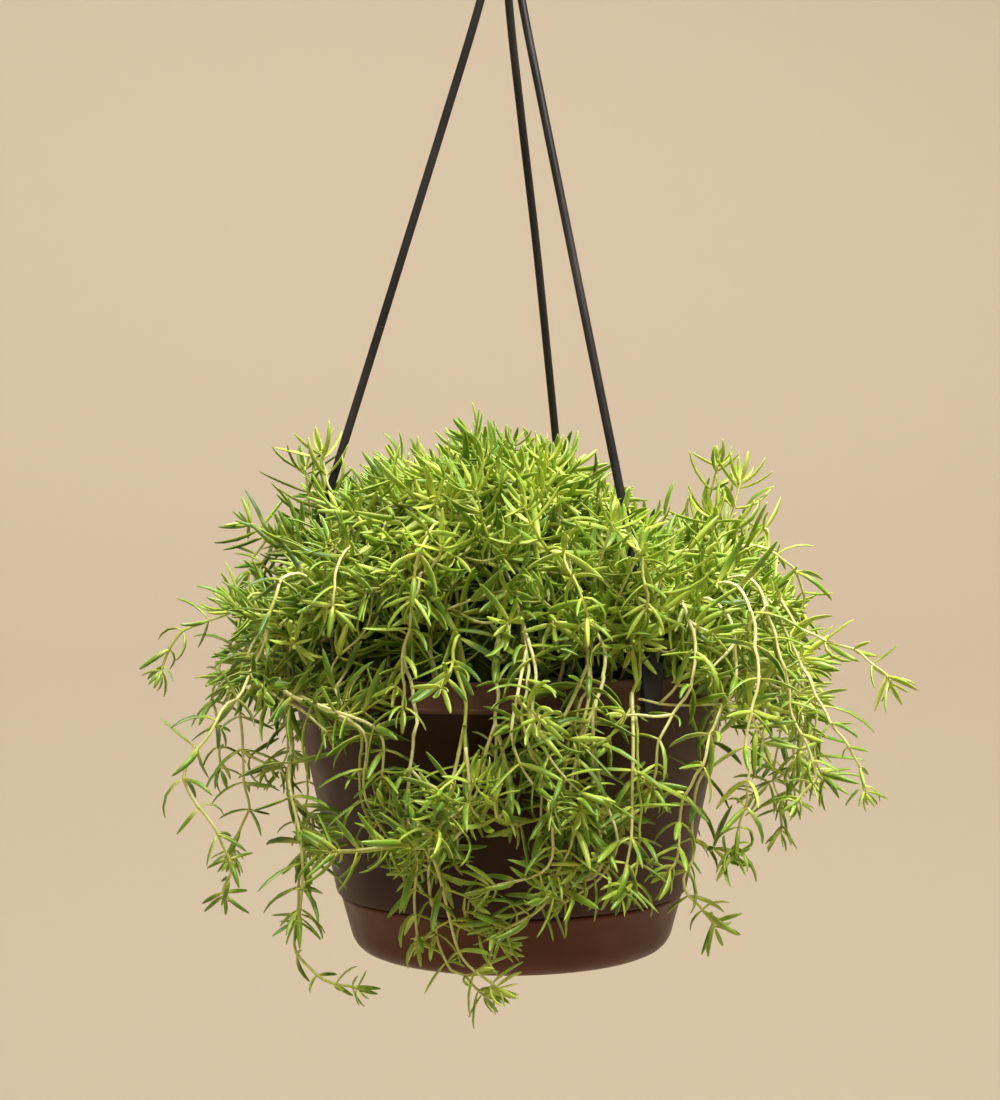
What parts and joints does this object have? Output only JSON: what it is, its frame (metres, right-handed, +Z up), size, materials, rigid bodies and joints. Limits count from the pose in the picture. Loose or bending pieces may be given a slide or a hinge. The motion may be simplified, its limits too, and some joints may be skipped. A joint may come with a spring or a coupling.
{
  "type": "hanging basket of trailing sedum",
  "caption": "Trailing narrow-leaved sedum in a tapered plastic hanging pot with a snapped-on drip saucer and a strand hanger that runs up to a hook.",
  "frame": {"origin": "the point inside the hook's bend that bears on whatever the basket hangs from", "axes": "+Z up along the pot's axis, -Y towards the viewer of the picture, +X to the viewer's right"},
  "size_m": [0.4227, 0.3592, 0.6588],
  "materials": {
    "pot_plastic": "satin",
    "saucer_plastic": "satin",
    "hanger_plastic": "satin",
    "potting_mix": "matte",
    "sedum_green": "satin",
    "sedum_pale": "satin",
    "sedum_brown": "satin"
  },
  "bodies": {
    "root": {"pot": "pot_plastic", "saucer": "saucer_plastic", "soil": "potting_mix", "hanger_hook": "hanger_plastic", "strand_left": "hanger_plastic", "strand_right": "hanger_plastic", "strand_back": "hanger_plastic", "crown": "sedum_green", "stem_edge_left": "sedum_green", "stem_straight_left": "sedum_green", "stem_bow_left": "sedum_green", "stem_long_left": "sedum_green", "stem_outer_left": "sedum_green", "stem_pale_front": "sedum_pale", "stem_low_front": "sedum_pale", "stem_cross_left": "sedum_green", "stem_rosette_front": "sedum_green", "stem_cross_front": "sedum_green", "stem_brown_front": "sedum_brown", "stem_curl_front": "sedum_green", "stem_right_front": "sedum_green", "stem_pale_right": "sedum_pale", "stem_long_right": "sedum_pale", "stem_low_right": "sedum_green", "stem_white_right": "sedum_pale", "stem_side_right": "sedum_green", "stem_far_right": "sedum_green", "stem_small_right": "sedum_green", "stem_mound_01": "sedum_green", "stem_mound_02": "sedum_green", "stem_mound_03": "sedum_green", "stem_mound_04": "sedum_green", "stem_mound_05": "sedum_green", "stem_mound_06": "sedum_green", "stem_mound_07": "sedum_green", "stem_mound_08": "sedum_green", "stem_mound_09": "sedum_brown", "stem_mound_10": "sedum_green", "stem_mound_11": "sedum_green", "stem_mound_12": "sedum_green", "stem_mound_13": "sedum_green", "stem_mound_14": "sedum_green", "stem_mound_15": "sedum_green", "stem_trail_01": "sedum_green", "stem_trail_02": "sedum_green", "stem_trail_03": "sedum_green", "stem_trail_04": "sedum_green", "stem_trail_05": "sedum_green", "stem_trail_06": "sedum_green", "stem_trail_07": "sedum_green", "stem_trail_08": "sedum_green", "stem_trail_09": "sedum_green", "stem_trail_10": "sedum_green"}
  },
  "joints": []
}
